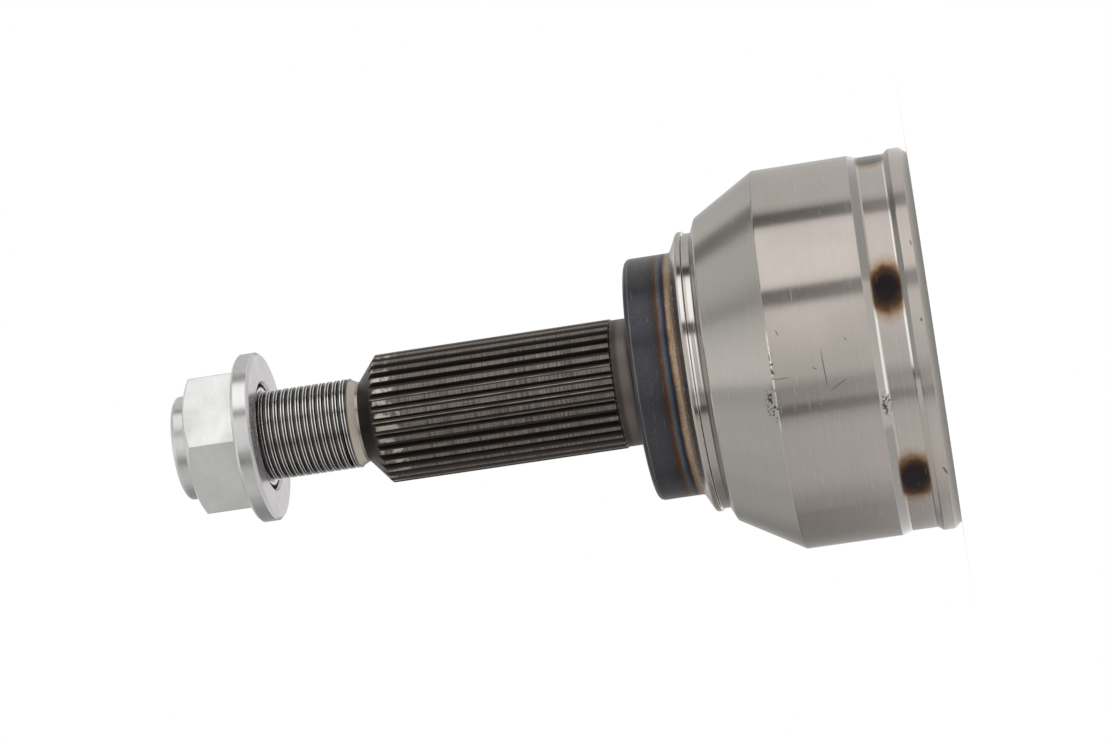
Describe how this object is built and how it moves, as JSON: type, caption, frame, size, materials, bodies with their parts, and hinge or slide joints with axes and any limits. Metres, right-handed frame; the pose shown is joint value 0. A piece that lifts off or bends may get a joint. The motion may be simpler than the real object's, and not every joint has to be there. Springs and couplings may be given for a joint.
{
  "type": "cv joint",
  "caption": "Outer constant-velocity joint: turned steel bell with a splined, threaded stub and flange nut; inner race, cage and balls bend inside the bell.",
  "frame": {"origin": "centre of the bell's mouth, on the wheel axis, in the plane of the mouth face", "axes": "+Z along the wheel axis from the mouth towards the nut; the joint bends about Y"},
  "size_m": [0.1, 0.1, 0.2015],
  "materials": {
    "forging_steel": "turned and ground, dry",
    "race_steel": "ground bearing steel",
    "cage_steel": "hardened, oiled black",
    "ball_steel": "polished ball",
    "spring_steel": "phosphated spring steel",
    "zinc_plate": "bright zinc plate"
  },
  "bodies": {
    "forging": {"outer_race": "forging_steel"},
    "inner_race": {"inner_race": "race_steel", "shaft_circlip": "spring_steel"},
    "cage": {"ball_cage": "cage_steel"},
    "ball_1": {"ball_1": "ball_steel"},
    "ball_2": {"ball_2": "ball_steel"},
    "ball_3": {"ball_3": "ball_steel"},
    "ball_4": {"ball_4": "ball_steel"},
    "ball_5": {"ball_5": "ball_steel"},
    "ball_6": {"ball_6": "ball_steel"},
    "washer": {"captive_washer": "zinc_plate"},
    "nut": {"hub_nut": "zinc_plate"}
  },
  "joints": [
    {"name": "shaft_bend", "type": "hinge", "parent": "forging", "child": "inner_race", "pos_m": [0, 0, 0.026], "axis": [0, 1, 0], "range_deg": [-45, 45]},
    {"name": "cage_tilt", "type": "hinge", "parent": "forging", "child": "cage", "pos_m": [0, 0, 0.026], "axis": [0, 1, 0], "range_deg": [-22.6, 22.6]},
    {"name": "ball_1_shift", "type": "slide", "parent": "cage", "child": "ball_1", "axis": [1, 0, 0], "range_m": [-0.0016, 0.0016]},
    {"name": "ball_2_roll", "type": "hinge", "parent": "forging", "child": "ball_2", "pos_m": [0, 0, 0.022], "axis": [0.866, -0.5, 0], "range_deg": [-11.8, 11.8]},
    {"name": "ball_3_roll", "type": "hinge", "parent": "forging", "child": "ball_3", "pos_m": [0, 0, 0.022], "axis": [0.866, 0.5, 0], "range_deg": [-11.8, 11.8]},
    {"name": "ball_4_shift", "type": "slide", "parent": "cage", "child": "ball_4", "axis": [1, 0, 0], "range_m": [-0.0016, 0.0016]},
    {"name": "ball_5_roll", "type": "hinge", "parent": "forging", "child": "ball_5", "pos_m": [0, 0, 0.022], "axis": [-0.866, 0.5, 0], "range_deg": [-11.8, 11.8]},
    {"name": "ball_6_roll", "type": "hinge", "parent": "forging", "child": "ball_6", "pos_m": [0, 0, 0.022], "axis": [-0.866, -0.5, 0], "range_deg": [-11.8, 11.8]},
    {"name": "washer_travel", "type": "slide", "parent": "forging", "child": "washer", "axis": [0, 0, 1], "range_m": [-0.0202, 0.0142]},
    {"name": "nut_spin", "type": "hinge", "parent": "washer", "child": "nut", "pos_m": [0, 0, 0.19], "axis": [0, 0, 1], "range_deg": [-3600, 2520]}
  ],
  "couplings": [
    {"joint": "cage_tilt", "follows": "shaft_bend", "ratio": 0.5},
    {"joint": "ball_1_shift", "follows": "shaft_bend", "m_per_rad": 0.002},
    {"joint": "ball_2_roll", "follows": "shaft_bend", "ratio": -0.26},
    {"joint": "ball_3_roll", "follows": "shaft_bend", "ratio": 0.26},
    {"joint": "ball_4_shift", "follows": "shaft_bend", "m_per_rad": 0.002},
    {"joint": "ball_5_roll", "follows": "shaft_bend", "ratio": 0.26},
    {"joint": "ball_6_roll", "follows": "shaft_bend", "ratio": -0.26},
    {"joint": "washer_travel", "follows": "nut_spin", "m_per_rad": 0.00031831}
  ]
}
